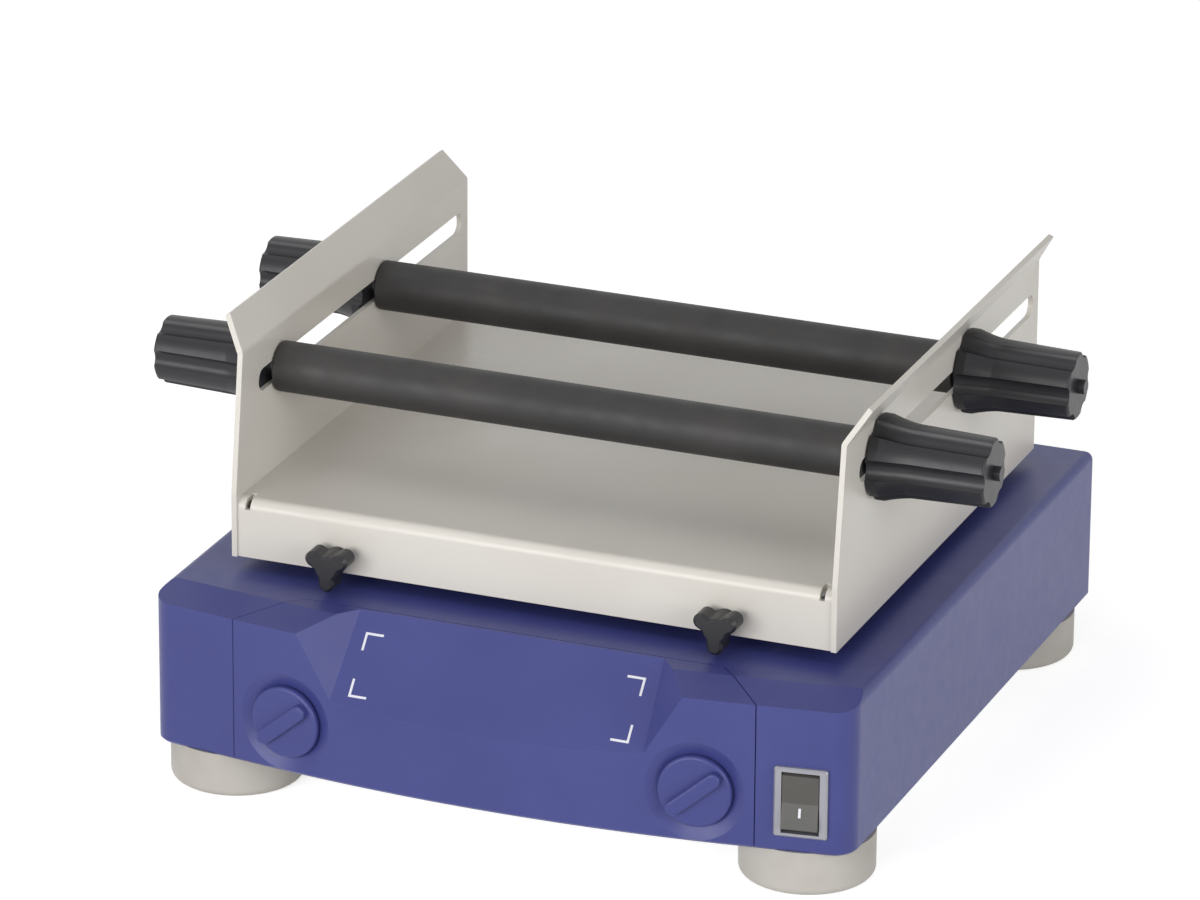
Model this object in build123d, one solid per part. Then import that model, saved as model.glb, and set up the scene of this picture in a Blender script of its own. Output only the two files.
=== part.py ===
from build123d import *
from math import atan, cos, radians, sin, sqrt, tan
import os

# Bench orbital shaker with a clamp-bar tray, in millimetres.
# X runs to the right, Y to the rear, Z up. The floor is at zero.

# Housing
housing_width = 270
housing_depth = 278.7
housing_height = 58.5
housing_wall = 3
front_bow = 7.9
block_width = 34.4
seam_gap = 0.4
block_sweep = 5
bevel_depth = 16
bevel_drop = 3.5
top_edge_radius = 3.2
front_corner_radius = 9
rear_corner_radius = 3
bottom_chamfer = 1

# Sloping window let into the front panel
window_slope = 48
window_foot_inset = 40.2
window_foot_z = 49
window_mouth_inset = 27.3
window_mouth_z = 70.3
window_head_inset = 41.9
window_head_depth = 23
panel_land = 1.2

# Knob dishes and their round knobs
dish_inset = 21.6
dish_z = 36.5
dish_radius = 18.75
dish_depth = 4.5
dish_gap = 0.7
dial_radius = 13.6
dial_face = 0.8
dial_edge = 1.2
grip_width = 5.6
grip_length = 24.6
grip_height = 3.2
grip_edge = 1
grip_angle = 40
spindle_radius = 3
spindle_length = 12
pot_radius = 8.5
pot_depth = 7
pot_seat = 3

# Mains switch on the right end block
switch_inset = 17.9
switch_z = 36.75
bezel_width = 19.4
bezel_height = 26.5
bezel_thickness = 1.8
bezel_corner = 1
switch_body_width = 16.6
switch_body_height = 25
switch_body_depth = 18
rocker_width = 13.2
rocker_radius = 11.4
rocker_throw = 14
rocker_gap = 0.3
rocker_pin_radius = 1.5
rocker_pin_depth = 0.8

# Mains inlet at the rear
inlet_inset = 65
inlet_z = 46
inlet_flange_width = 31
inlet_flange_height = 24
inlet_flange_thickness = 2
inlet_flange_corner = 2
inlet_proud = 0.7
inlet_body_width = 27
inlet_body_height = 20
inlet_body_depth = 22
inlet_mouth_width = 24.4
inlet_mouth_height = 16.4
inlet_mouth_depth = 16
inlet_mouth_bevel = 4
inlet_pin_width = 2
inlet_pin_height = 4
inlet_pin_length = 13
inlet_pin_pitch = 7

# Base plate, feet and screws
plate_thickness = 2
plate_gap = 0.3
foot_radius = 24.6
foot_height = 17
foot_edge = 3
foot_recess_radius = 6.5
foot_recess_depth = 8
foot_side_inset = 24
foot_front_inset = 21.3
foot_rear_inset = 24.5
foot_screw_radius = 2.5
foot_screw_head = 5
foot_collar_radius = 6
foot_collar_height = 6
screw_radius = 2
screw_head_radius = 4
screw_length = 12
boss_radius = 5
boss_front_inset = 68.8
boss_rear_inset = 87
panel_boss_inset = 50.6
panel_boss_height = 16

# Drive
orbit_radius = 2
drive_y = 10.25
shaft_radius = 4
pin_radius = 4
head_radius = 7
running_gap = 0.05
part_gap = 0.3
bore_clearance = 2
tower_radius = 17
tower_foot_radius = 26
tower_foot_height = 4
tower_height = 33
bearing_radius = 11
bearing_width = 7
pulley_start = 1
pulley_width = 10
pulley_flange_radius = 30
pulley_groove_radius = 28
pulley_flange_thickness = 1.5
pulley_rim = 4
pulley_recess = 3
weight_radius = 26
weight_thickness = 5
belt_ratio = 3
belt_thickness = 2
belt_width = 6
motor_distance = 75
motor_radius = 21
motor_height = 29
motor_edge = 2
motor_shaft_radius = 3
motor_flange_step = 2
bracket_thickness = 2
bracket_width = 48
bracket_foot = 12
bracket_gap = 3

# Idlers that keep the platform level and square
idler_x = 85
idler_y = 75
idler_shaft_radius = 3
idler_head_radius = 5.5
idler_bush_radius = 5
idler_bush_length = 20
idler_bush_flange_radius = 7.5
idler_bush_flange = 1.5
idler_tower_radius = 8.5
idler_tower_foot_radius = 13
idler_tower_height = 44
seal_gap = 0.3
seal_ring = 3.5
seal_lip = 1.5
seal_lip_height = 1

# Electrical pieces inside
board_width = 104
board_depth = 46
board_thickness = 1.6
board_height = 6
board_setback = 38.8
standoff_radius = 3
capacitor_radius = 5
capacitor_height = 14
capacitor_pitch = 13
capacitor_count = 3
capacitor_inset = 22
capacitor_setback = 31
chip_width = 14
chip_depth = 12
chip_height = 3
chip_inset = 46
chip_setback = 7
relay_width = 10
relay_depth = 24
relay_height = 12
relay_pitch = 18
relay_inset = 8
transformer_gap = 12
transformer_width = 44
transformer_depth = 36
transformer_height = 37
coil_overhang = 8
coil_height = 24
coil_edge = 4

# Platform that the drive moves
platform_rise = 6.5
platform_height = 19
platform_deck = 3
platform_rim = 3
platform_corner = 6
hub_wall = 3.5
rib_thickness = 3
rib_height = 10
platform_fit = 0.4

# Tray
tray_width = 230
tray_length = 214.5
sheet = 2
skirt_drop = 22.5
bend_radius = 4
relief_width = 2
relief_length = 7
skirt_end_gap = 1

# Side walls of the tray
wall_height = 76.5
wall_front_overhang = 1
wall_lean_start = 24.5
wall_lean = 7
flange_rise = 12.4
flange_reach = 7.65
flange_front_setback = 6
flange_rear_setback = 6.5
slot_height = 8.6
slot_front_margin = 19.5
slot_rear_margin = 6

# Clamp bars and their knobs
bar_drop = 16
front_bar_travel = 19.4
rear_bar_travel = 76.4
rod_radius = 4
bar_tube_radius = 6.5
sleeve_radius = 9.4
sleeve_edge = 0.8
bar_end_gap = 0.35
rod_reach = 26
knob_length = 43.3
knob_base_radius = 15.7
knob_neck_radius = 13.4
knob_end_radius = 12.6
knob_base_length = 4
knob_neck_length = 14
knob_edge = 1
flute_count = 6
flute_radius = 4.6
flute_depth = 2.2
knob_bore_extra = 1.5
nub_radius = 2.7
nub_length = 2.8

# Thumbscrews that hold the tray on the platform
thumb_inset = 40
thumb_drop = 17
thumb_hub_radius = 4.5
thumb_hub_length = 4
star_radius = 9
star_lobe_count = 3
star_lobe_radius = 3
star_core_radius = 4.8
star_thickness = 8
star_edge = 1
star_blend = 1.5
thumb_stud_radius = 2.5
thumb_stud_length = 14
thumb_boss_radius = 5.5

# Places worked out from the sizes above
join_overlap = 1
half_width = housing_width / 2
seam_x = half_width - block_width
front_tip_y = -(housing_depth + inlet_proud) / 2
rear_y = front_tip_y + housing_depth
seam_y = front_tip_y + front_bow
corner_y = seam_y + block_sweep
bow_radius = (seam_x ** 2 + front_bow ** 2) / (2 * front_bow)
block_slope = block_sweep / block_width
window_foot_x = seam_x - window_foot_inset
window_mouth_x = seam_x - window_mouth_inset
window_head_x = seam_x - window_head_inset
dish_x = seam_x - dish_inset
switch_x = half_width - switch_inset
inlet_x = half_width - inlet_inset
board_y = corner_y + board_setback
housing_bottom = foot_height
housing_top = housing_bottom + housing_height
crease_z = housing_top - bevel_drop
plate_top = housing_bottom + plate_thickness
cut_margin = 20

platform_y = drive_y + orbit_radius
platform_bottom = housing_top + platform_rise
platform_top = platform_bottom + platform_height
head_top = platform_bottom - idler_bush_flange - part_gap
tray_half = tray_width / 2
tray_front_y = platform_y - tray_length / 2
tray_rear_y = platform_y + tray_length / 2
tray_floor = platform_top + sheet
skirt_bottom = tray_floor - skirt_drop
wall_bend_z = skirt_bottom + wall_height
bar_z = wall_bend_z - bar_drop
thumb_x = tray_half - thumb_inset
thumb_z = tray_floor - thumb_drop
slot_front_y = tray_front_y + slot_front_margin
slot_rear_y = tray_rear_y - slot_rear_margin
front_bar_y = slot_front_y + front_bar_travel
rear_bar_y = slot_rear_y - rear_bar_travel

tower_top = plate_top + tower_height
pulley_bottom = tower_top + pulley_start
pulley_top = pulley_bottom + pulley_width
weight_top = pulley_top + weight_thickness
motor_y = drive_y + motor_distance
transformer_x = pulley_flange_radius + transformer_gap + transformer_width / 2
transformer_y = drive_y
belt_gap = part_gap
pitch_offset = belt_gap + belt_thickness / 2
motor_groove_radius = (pulley_groove_radius + pitch_offset) / belt_ratio - pitch_offset
motor_flange_radius = motor_groove_radius + pulley_flange_radius - pulley_groove_radius
idler_tower_top = plate_top + idler_tower_height


def front_y(x):
    """Depth of the bowed front at a place across it."""
    return front_tip_y + bow_radius - sqrt(bow_radius ** 2 - x ** 2)


def disc(radius, bottom, top):
    """Round bar about Z between two heights."""
    bar = Cylinder(radius, top - bottom, align=(Align.CENTER, Align.CENTER, Align.MIN))
    return Pos(0, 0, bottom) * bar


def ring(outer, inner, bottom, top):
    """Tube about Z between two heights."""
    return extrude(Pos(0, 0, bottom) * (Circle(outer) - Circle(inner)), amount=top - bottom)


def block(x_range, y_range, z_range):
    """Box between pairs of limits."""
    size = [high - low for low, high in (x_range, y_range, z_range)]
    corner = (x_range[0], y_range[0], z_range[0])
    return Pos(*corner) * Box(*size, align=(Align.MIN, Align.MIN, Align.MIN))


def group(shapes):
    """Several separate solids kept together as one piece."""
    solids = []
    for shape in shapes:
        solids.extend(shape.solids())
    return Compound(solids)


# Housing


def area_behind_front(shift):
    """Area behind the swept and bowed front, with the front moved by a shift."""
    end_x = half_width + cut_margin
    end_y = seam_y + block_slope * (end_x - seam_x) + shift
    back = rear_y + 3 * cut_margin
    left_end = (-end_x, end_y)
    left_seam = (-seam_x, seam_y + shift)
    right_seam = (seam_x, seam_y + shift)
    right_end = (end_x, end_y)
    outline = Curve() + [
        Line((-end_x, back), left_end),
        Line(left_end, left_seam),
        ThreePointArc(left_seam, (0, front_tip_y + shift), right_seam),
        Line(right_seam, right_end),
        Line(right_end, (end_x, back)),
        Line((end_x, back), (-end_x, back)),
    ]
    return make_face(outline)


def housing_plan():
    """Outline of the housing seen from above."""
    span = 4 * housing_depth
    limits = Pos(0, rear_y - span / 2) * Rectangle(housing_width, span)
    plan = area_behind_front(0) & limits
    corners = [vertex for vertex in plan.vertices() if abs(vertex.X) > half_width - 1]
    front = [vertex for vertex in corners if vertex.Y < 0]
    plan = fillet(front, front_corner_radius)
    rear = [vertex for vertex in plan.vertices() if vertex.Y > rear_y - 0.5]
    return fillet(rear, rear_corner_radius)


def front_bevel(inset):
    """What the sloping band takes off the upper front edge."""
    drop = inset / cos(atan(bevel_drop / bevel_depth))
    low = crease_z - bevel_drop - drop
    high = housing_top + bevel_drop - drop
    kept = loft(
        [
            Pos(0, 0, low) * area_behind_front(-bevel_depth),
            Pos(0, 0, high) * area_behind_front(2 * bevel_depth),
        ],
        ruled=True,
    )
    slab = extrude(Pos(0, 0, low) * area_behind_front(-bevel_depth - cut_margin), amount=high - low)
    return slab - kept


def housing_outer():
    """The whole outer form of the housing, solid."""
    body = extrude(Pos(0, 0, housing_bottom) * housing_plan(), amount=housing_height)
    body = fillet(body.faces().sort_by(Axis.Z)[-1].edges(), top_edge_radius)
    body = chamfer(body.faces().sort_by(Axis.Z)[0].edges(), bottom_chamfer)
    return body - front_bevel(0)


def housing_inner():
    """The space inside the housing, open at the bottom."""
    plan = offset(housing_plan(), amount=-housing_wall, kind=Kind.INTERSECTION)
    height = housing_height - housing_wall + 1
    body = extrude(Pos(0, 0, housing_bottom - 1) * plan, amount=height)
    return body - front_bevel(housing_wall)


window_foot_y = front_y(window_foot_x)
window_top_y = window_foot_y + (housing_top - window_foot_z) / tan(radians(window_slope))
panel_rear_y = window_top_y + panel_land


def panel_region(grow):
    """Column that holds the front panel, between the two seams."""
    inner_x = seam_x - (panel_rear_y - seam_y)
    front = front_tip_y - cut_margin
    points = [
        (-seam_x, front),
        (-seam_x, seam_y),
        (-inner_x, panel_rear_y),
        (inner_x, panel_rear_y),
        (seam_x, seam_y),
        (seam_x, front),
    ]
    area = offset(make_face(Polyline(*points, close=True)), amount=grow, kind=Kind.INTERSECTION)
    return extrude(Pos(0, 0, -cut_margin) * area, amount=housing_top + 2 * cut_margin)


def window_recess(grow):
    """Space of the sloping window, bounded by the window and its two side facets."""
    slope = radians(window_slope)
    foot = Vector(window_foot_x, window_foot_y, window_foot_z)
    mouth = Vector(window_mouth_x, front_y(window_mouth_x), window_mouth_z)
    head_y = window_foot_y + window_head_depth
    head_z = window_foot_z + (head_y - window_foot_y) * tan(slope)
    head = Vector(window_head_x, head_y, head_z)
    space = block(
        (-seam_x, seam_x),
        (front_tip_y - cut_margin, panel_rear_y + cut_margin),
        (window_foot_z - cut_margin, housing_top + cut_margin),
    )
    window_normal = Vector(0, -sin(slope), cos(slope))
    window = Plane(origin=foot - window_normal * grow, z_dir=window_normal)
    space = split(space, bisect_by=window, keep=Keep.TOP)
    facet_normal = (head - mouth).cross(foot - mouth).normalized()
    if facet_normal.X > 0:
        facet_normal = facet_normal * -1
    right = Plane(origin=foot - facet_normal * grow, z_dir=facet_normal)
    space = split(space, bisect_by=right, keep=Keep.TOP)
    left_normal = Vector(-facet_normal.X, facet_normal.Y, facet_normal.Z)
    left_foot = Vector(-foot.X, foot.Y, foot.Z)
    left = Plane(origin=left_foot - left_normal * grow, z_dir=left_normal)
    return split(space, bisect_by=left, keep=Keep.TOP)


def dish_place(side):
    """Plane on the bowed front at a knob, facing outward."""
    x = side * dish_x
    normal = Vector(x / bow_radius, -sqrt(1 - (x / bow_radius) ** 2), 0)
    across = Vector(-normal.Y, normal.X, 0)
    return Plane(origin=(x, front_y(x), dish_z), x_dir=across, z_dir=normal)


dish_sphere = (dish_radius ** 2 + dish_depth ** 2) / (2 * dish_depth)


def dish(side, grow):
    """Ball that hollows the dish round a knob."""
    return dish_place(side) * Pos(0, 0, dish_sphere - dish_depth) * Sphere(dish_sphere + grow)


def shaft_places():
    """Centre shaft and the four idlers: place, head radius."""
    places = [((0, drive_y), head_radius)]
    for x in (-idler_x, idler_x):
        for y in (drive_y - idler_y, drive_y + idler_y):
            places.append(((x, y), idler_head_radius))
    return places


def side_boss_places():
    """Screw bosses along the two sides of the cover."""
    x = half_width - housing_wall - boss_radius + join_overlap
    rows = (corner_y + boss_front_inset, rear_y - boss_rear_inset)
    return [(side * x, y) for side in (-1, 1) for y in rows]


def panel_boss_places():
    """Screw bosses behind the front panel."""
    x = seam_x - panel_boss_inset
    y = front_y(x) + housing_wall + boss_radius - join_overlap
    return [(side * x, y) for side in (-1, 1)]


def switch_place():
    """Plane on the right end block at the switch, facing outward."""
    length = sqrt(1 + block_slope ** 2)
    normal = Vector(block_slope / length, -1 / length, 0)
    across = Vector(1 / length, block_slope / length, 0)
    y = seam_y + block_slope * (switch_x - seam_x)
    return Plane(origin=(switch_x, y, switch_z), x_dir=across, z_dir=normal)


def inlet_place():
    """Plane on the rear face at the inlet, facing outward."""
    return Plane(origin=(inlet_x, rear_y, inlet_z), x_dir=(-1, 0, 0), z_dir=(0, 1, 0))


def make_housing_cover():
    cover = housing_outer() - housing_inner()
    for x, y in side_boss_places():
        cover += Pos(x, y) * disc(boss_radius, plate_top, housing_top - housing_wall / 2)
    cover -= panel_region(seam_gap / 2)
    for x, y in side_boss_places():
        cover -= Pos(x, y) * disc(screw_radius, plate_top, plate_top + screw_length)
    for (x, y), radius in shaft_places():
        hole = radius + seal_gap + seal_ring
        cover -= Pos(x, y) * disc(hole, housing_top - cut_margin / 2, housing_top + 1)
    opening = Box(
        switch_body_width + 2 * part_gap, switch_body_height + 2 * part_gap, 4 * housing_wall
    )
    cover -= switch_place() * opening
    seat_depth = inlet_flange_thickness - inlet_proud
    seat = Box(
        inlet_flange_width + 2 * part_gap, inlet_flange_height + 2 * part_gap, 2 * seat_depth
    )
    cover -= inlet_place() * seat
    through = Box(
        inlet_body_width + 2 * part_gap, inlet_body_height + 2 * part_gap, 4 * housing_wall
    )
    cover -= inlet_place() * through
    return cover


def make_front_panel():
    face = housing_outer() & panel_region(-seam_gap / 2)
    face -= window_recess(0)
    behind = housing_inner() - window_recess(housing_wall)
    for side in (-1, 1):
        face -= dish(side, 0)
        behind -= dish(side, housing_wall)
    panel = face - behind
    panel -= housing_inner() & block(
        (-half_width, half_width), (front_tip_y, rear_y), (0, plate_top)
    )
    seat = dish_depth + housing_wall + pot_seat
    for side in (-1, 1):
        column = disc(pot_radius, -seat, -dish_depth - housing_wall / 2)
        panel += dish_place(side) * column
        panel -= dish_place(side) * disc(spindle_radius + part_gap, -2 * seat, 0)
    for x, y in panel_boss_places():
        column = Pos(x, y) * disc(boss_radius, plate_top, plate_top + panel_boss_height)
        panel += column
        panel -= Pos(x, y) * disc(screw_radius, plate_top, plate_top + screw_length)
    return panel


def foot_places():
    places = {}
    x = half_width - foot_side_inset
    rows = {"front": corner_y + foot_front_inset, "rear": rear_y - foot_rear_inset}
    for row, y in rows.items():
        places[f"{row}_left"] = (-x, y)
        places[f"{row}_right"] = (x, y)
    return places


def screw_head(radius):
    """Countersunk head that fills the thickness of the base plate."""
    align = (Align.CENTER, Align.CENTER, Align.MIN)
    head = Cone(radius, screw_radius, plate_thickness, align=align)
    return Pos(0, 0, housing_bottom) * head


def make_base_plate():
    inset = housing_wall + plate_gap
    plan = offset(housing_plan(), amount=-inset, kind=Kind.INTERSECTION)
    plate = extrude(Pos(0, 0, housing_bottom) * plan, amount=plate_thickness)
    for x, y in foot_places().values():
        plate += Pos(x, y) * disc(foot_collar_radius, plate_top, plate_top + foot_collar_height)
        plate -= Pos(x, y) * disc(foot_screw_radius, 0, housing_top / 2)
    for x, y in side_boss_places() + panel_boss_places():
        plate -= Pos(x, y) * disc(screw_radius, 0, housing_top / 2)
        plate -= Pos(x, y) * screw_head(screw_head_radius + running_gap)
    return plate


def make_foot():
    foot = disc(foot_radius, 0, foot_height)
    foot = fillet(foot.edges().sort_by(Axis.Z)[0], foot_edge)
    foot -= disc(foot_recess_radius, 0, foot_recess_depth)
    return foot - disc(foot_screw_radius, 0, foot_height)


def make_foot_screws():
    screws = []
    for x, y in foot_places().values():
        head = disc(foot_screw_head, foot_recess_depth / 2, foot_recess_depth)
        shank = disc(foot_screw_radius, foot_recess_depth, plate_top + foot_collar_height)
        screws.append(Pos(x, y) * (head + shank))
    return group(screws)


def make_cover_screws():
    screws = []
    for x, y in side_boss_places() + panel_boss_places():
        shank = disc(screw_radius, housing_bottom, plate_top + screw_length)
        screws.append(Pos(x, y) * (screw_head(screw_head_radius) + shank))
    return group(screws)


def make_shaft_seals():
    seals = []
    for (x, y), radius in shaft_places():
        inner = radius + seal_gap
        outer = inner + seal_ring
        lip = ring(outer + seal_lip, inner, housing_top, housing_top + seal_lip_height)
        body = ring(outer, inner, housing_top - housing_wall, housing_top)
        seals.append(Pos(x, y) * (lip + body))
    return group(seals)


# Controls


def make_dial(side):
    """Low round knob with a raised diagonal grip and a spindle."""
    body = disc(dial_radius, -dish_depth, dial_face)
    body = fillet(body.edges().sort_by(Axis.Z)[-1], dial_edge)
    body &= Pos(0, 0, dish_sphere - dish_depth) * Sphere(dish_sphere - dish_gap)
    outline = Rot(0, 0, grip_angle) * SlotOverall(grip_length, grip_width)
    foot = dial_face - join_overlap
    grip = extrude(Pos(0, 0, foot) * outline, amount=grip_height + join_overlap)
    grip = fillet(grip.faces().sort_by(Axis.Z)[-1].edges(), grip_edge)
    spindle = disc(spindle_radius, -dish_depth - spindle_length, -join_overlap)
    return dish_place(side) * (body + grip + spindle)


def make_potentiometer(side):
    front = -(dish_depth + housing_wall + pot_seat)
    body = disc(pot_radius, front - pot_depth, front)
    tail = pot_radius / 2
    body += block((-tail, tail), (-pot_radius - tail, 0), (front - pot_depth, front - pot_depth / 2))
    body -= disc(spindle_radius + running_gap, front - pot_depth, front)
    return dish_place(side) * body


rocker_pivot = rocker_radius / 4


def make_switch_frame():
    outline = RectangleRounded(bezel_width, bezel_height, bezel_corner)
    bezel = extrude(outline, amount=bezel_thickness)
    bezel = chamfer(bezel.faces().sort_by(Axis.Z)[-1].edges(), bezel_thickness / 3)
    body = block(
        (-switch_body_width / 2, switch_body_width / 2),
        (-switch_body_height / 2, switch_body_height / 2),
        (-switch_body_depth, 0),
    )
    frame = bezel + body
    half_opening = rocker_width / 2 + rocker_gap
    half_height = rocker_radius + rocker_gap
    frame -= block(
        (-half_opening, half_opening),
        (-half_height, half_height),
        (-rocker_pivot - rocker_radius / 2 - rocker_throw / 4, bezel_thickness + 1),
    )
    pin_reach = half_opening + rocker_pin_depth
    pin = Cylinder(rocker_pin_radius + running_gap, 2 * pin_reach, rotation=(0, 90, 0))
    frame -= Pos(0, 0, -rocker_pivot) * pin
    return switch_place() * frame


def make_rocker():
    """Rocker with its upper half pressed in."""
    crest = bezel_thickness + rocker_pivot
    rise = rocker_radius * tan(radians(rocker_throw))
    profile = Circle(rocker_radius)
    above = make_face(
        Polyline(
            (crest, 0),
            (crest, rocker_radius + 1),
            (2 * rocker_radius, rocker_radius + 1),
            (2 * rocker_radius, -rocker_radius - 1),
            (crest + rise, -rocker_radius),
            close=True,
        )
    )
    below = Pos(-rocker_radius - rocker_radius / 2, 0) * Rectangle(
        2 * rocker_radius, 3 * rocker_radius
    )
    profile = profile - above - below
    side_view = Plane(origin=(0, 0, -rocker_pivot), x_dir=(0, 0, 1), z_dir=(-1, 0, 0))
    body = extrude(side_view * profile, amount=rocker_width / 2, both=True)
    pin_length = rocker_width + 2 * rocker_gap + rocker_pin_depth
    body += Pos(0, 0, -rocker_pivot) * Cylinder(
        rocker_pin_radius, pin_length, rotation=(0, 90, 0)
    )
    return switch_place() * body


def make_mains_inlet():
    flange = extrude(
        Pos(0, 0, inlet_proud - inlet_flange_thickness)
        * RectangleRounded(inlet_flange_width, inlet_flange_height, inlet_flange_corner),
        amount=inlet_flange_thickness,
    )
    body = extrude(
        Pos(0, 0, inlet_proud - inlet_flange_thickness)
        * Rectangle(inlet_body_width, inlet_body_height),
        amount=-inlet_body_depth,
    )
    mouth = Rectangle(inlet_mouth_width, inlet_mouth_height)
    upper = mouth.vertices().group_by(Axis.Y)[-1]
    mouth = chamfer(upper, inlet_mouth_bevel)
    inlet = flange + body
    inlet -= extrude(Pos(0, 0, inlet_proud - inlet_mouth_depth) * mouth, amount=inlet_mouth_depth)
    floor = inlet_proud - inlet_mouth_depth
    for column in (-1, 0, 1):
        row = inlet_pin_pitch / 3 if column == 0 else -inlet_pin_pitch / 6
        pin = Box(
            inlet_pin_width,
            inlet_pin_height,
            inlet_pin_length,
            align=(Align.CENTER, Align.CENTER, Align.MIN),
        )
        inlet += Pos(column * inlet_pin_pitch, row, floor) * pin
    return inlet_place() * inlet


# Drive


def make_bearing_tower():
    tower = disc(tower_radius, plate_top, tower_top)
    tower += disc(tower_foot_radius, plate_top, plate_top + tower_foot_height)
    tower -= disc(shaft_radius + bore_clearance, plate_top, tower_top)
    seat = plate_top + tower_foot_height
    tower -= disc(bearing_radius, seat, seat + bearing_width)
    tower -= disc(bearing_radius, tower_top - bearing_width, tower_top)
    return Pos(0, drive_y) * tower


def ball_bearing(outer, inner, width):
    """Bearing with a shallow groove on both faces between its rings."""
    bearing = ring(outer, inner, 0, width)
    wall = (outer - inner) / 4
    groove = ring(outer - wall, inner + wall, 0, width / 10)
    return bearing - groove - Pos(0, 0, width - width / 10) * groove


def make_tower_bearings():
    bearing = ball_bearing(bearing_radius, shaft_radius + running_gap, bearing_width)
    lower = Pos(0, drive_y, plate_top + tower_foot_height) * bearing
    upper = Pos(0, drive_y, tower_top - bearing_width) * bearing
    return group([lower, upper])


def make_drive_shaft():
    """Shaft with a head above the housing and the offset pin on it."""
    shaft = disc(shaft_radius, plate_top + tower_foot_height, weight_top)
    head = disc(head_radius, weight_top, head_top)
    pin = Pos(0, orbit_radius) * disc(pin_radius, head_top, platform_top - platform_deck - 1)
    return Pos(0, drive_y) * (shaft + head + pin)


def pulley(groove_radius, flange_radius, bore_radius):
    wheel = disc(groove_radius, pulley_bottom, pulley_top)
    lower = disc(flange_radius, pulley_bottom, pulley_bottom + pulley_flange_thickness)
    upper = disc(flange_radius, pulley_top - pulley_flange_thickness, pulley_top)
    return wheel + lower + upper - disc(bore_radius, pulley_bottom, pulley_top)


def make_driven_pulley():
    wheel = pulley(pulley_groove_radius, pulley_flange_radius, shaft_radius)
    outer = pulley_groove_radius - pulley_rim
    inner = head_radius + pulley_rim
    recess = ring(outer, inner, pulley_bottom, pulley_bottom + pulley_recess)
    return Pos(0, drive_y) * (wheel - recess)


def make_counterweight():
    """Half disc on the side away from the offset pin."""
    weight = disc(weight_radius, pulley_top, weight_top)
    rear_half = block(
        (-weight_radius, weight_radius), (0, weight_radius), (pulley_top, weight_top)
    )
    weight = weight - rear_half + disc(head_radius, pulley_top, weight_top)
    return Pos(0, drive_y) * (weight - disc(shaft_radius, pulley_top, weight_top))


def make_motor():
    bottom = tower_top - bracket_thickness - motor_height
    body = disc(motor_radius, bottom, bottom + motor_height)
    body = fillet(body.edges().group_by(Axis.Z)[0], motor_edge)
    collar = disc(motor_shaft_radius * 2, bottom + motor_height, tower_top)
    tail = disc(motor_shaft_radius * 2, bottom - motor_flange_step, bottom)
    bore = disc(motor_shaft_radius + running_gap, bottom + motor_height / 2, tower_top)
    return Pos(0, motor_y) * (body + collar + tail - bore)


def make_motor_pulley():
    wheel = pulley(motor_groove_radius, motor_flange_radius, motor_shaft_radius)
    bottom = tower_top - bracket_thickness - motor_height / 2
    return Pos(0, motor_y) * (wheel + disc(motor_shaft_radius, bottom + 1, pulley_top))


def make_motor_bracket():
    """Bridge over the motor, bent from one strip, with two feet."""
    half = motor_radius + bracket_gap
    depth = bracket_width / 2
    bridge = block(
        (-half - bracket_thickness, half + bracket_thickness),
        (-depth, depth),
        (tower_top - bracket_thickness, tower_top),
    )
    for side in (-1, 1):
        leg = block((half, half + bracket_thickness), (-depth, depth), (plate_top, tower_top))
        foot = block(
            (half, half + bracket_foot),
            (-depth, depth),
            (plate_top, plate_top + bracket_thickness),
        )
        strip = leg + foot
        bridge += strip if side > 0 else mirror(strip, about=Plane.YZ)
    bridge -= disc(motor_shaft_radius * 2, tower_top - bracket_thickness, tower_top)
    return Pos(0, motor_y) * bridge


def belt_loop(grow):
    """Outline that wraps both pulleys, a distance outside their grooves."""
    big = Pos(0, drive_y) * Circle(pulley_groove_radius + grow)
    small = Pos(0, motor_y) * Circle(motor_groove_radius + grow)
    return make_hull((big + small).edges())


def make_drive_belt():
    middle = (pulley_bottom + pulley_top) / 2
    loop = belt_loop(belt_gap + belt_thickness) - belt_loop(belt_gap)
    return extrude(Pos(0, 0, middle - belt_width / 2) * loop, amount=belt_width)


def idler_places():
    return [place for place, radius in shaft_places()[1:]]


def make_idler_towers():
    tower = disc(idler_tower_radius, plate_top, idler_tower_top)
    tower += disc(idler_tower_foot_radius, plate_top, plate_top + tower_foot_height)
    depth = idler_tower_top - idler_bush_length
    tower -= disc(idler_bush_radius, depth, idler_tower_top)
    return group([Pos(x, y) * tower for x, y in idler_places()])


def bush(flange_low):
    """Plain bearing with a flange under it or over it."""
    inner = idler_shaft_radius + running_gap
    body = ring(idler_bush_radius, inner, 0, idler_bush_length)
    bottom = -idler_bush_flange if flange_low else idler_bush_length
    return body + ring(idler_bush_flange_radius, inner, bottom, bottom + idler_bush_flange)


def make_idler_bearings():
    depth = idler_tower_top - idler_bush_length
    return group([Pos(x, y, depth) * bush(False) for x, y in idler_places()])


def make_idler_crank(place):
    """Crank whose upper pin is offset like the drive's."""
    start = idler_tower_top - idler_bush_length + 1
    head_bottom = idler_tower_top + idler_bush_flange + part_gap
    crank = disc(idler_shaft_radius, start, head_bottom)
    crank += disc(idler_head_radius, head_bottom, head_top)
    pin_top = platform_top - platform_deck - 1
    crank += Pos(0, orbit_radius) * disc(idler_shaft_radius, head_top, pin_top)
    return Pos(*place) * crank


# Electrical pieces


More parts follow.
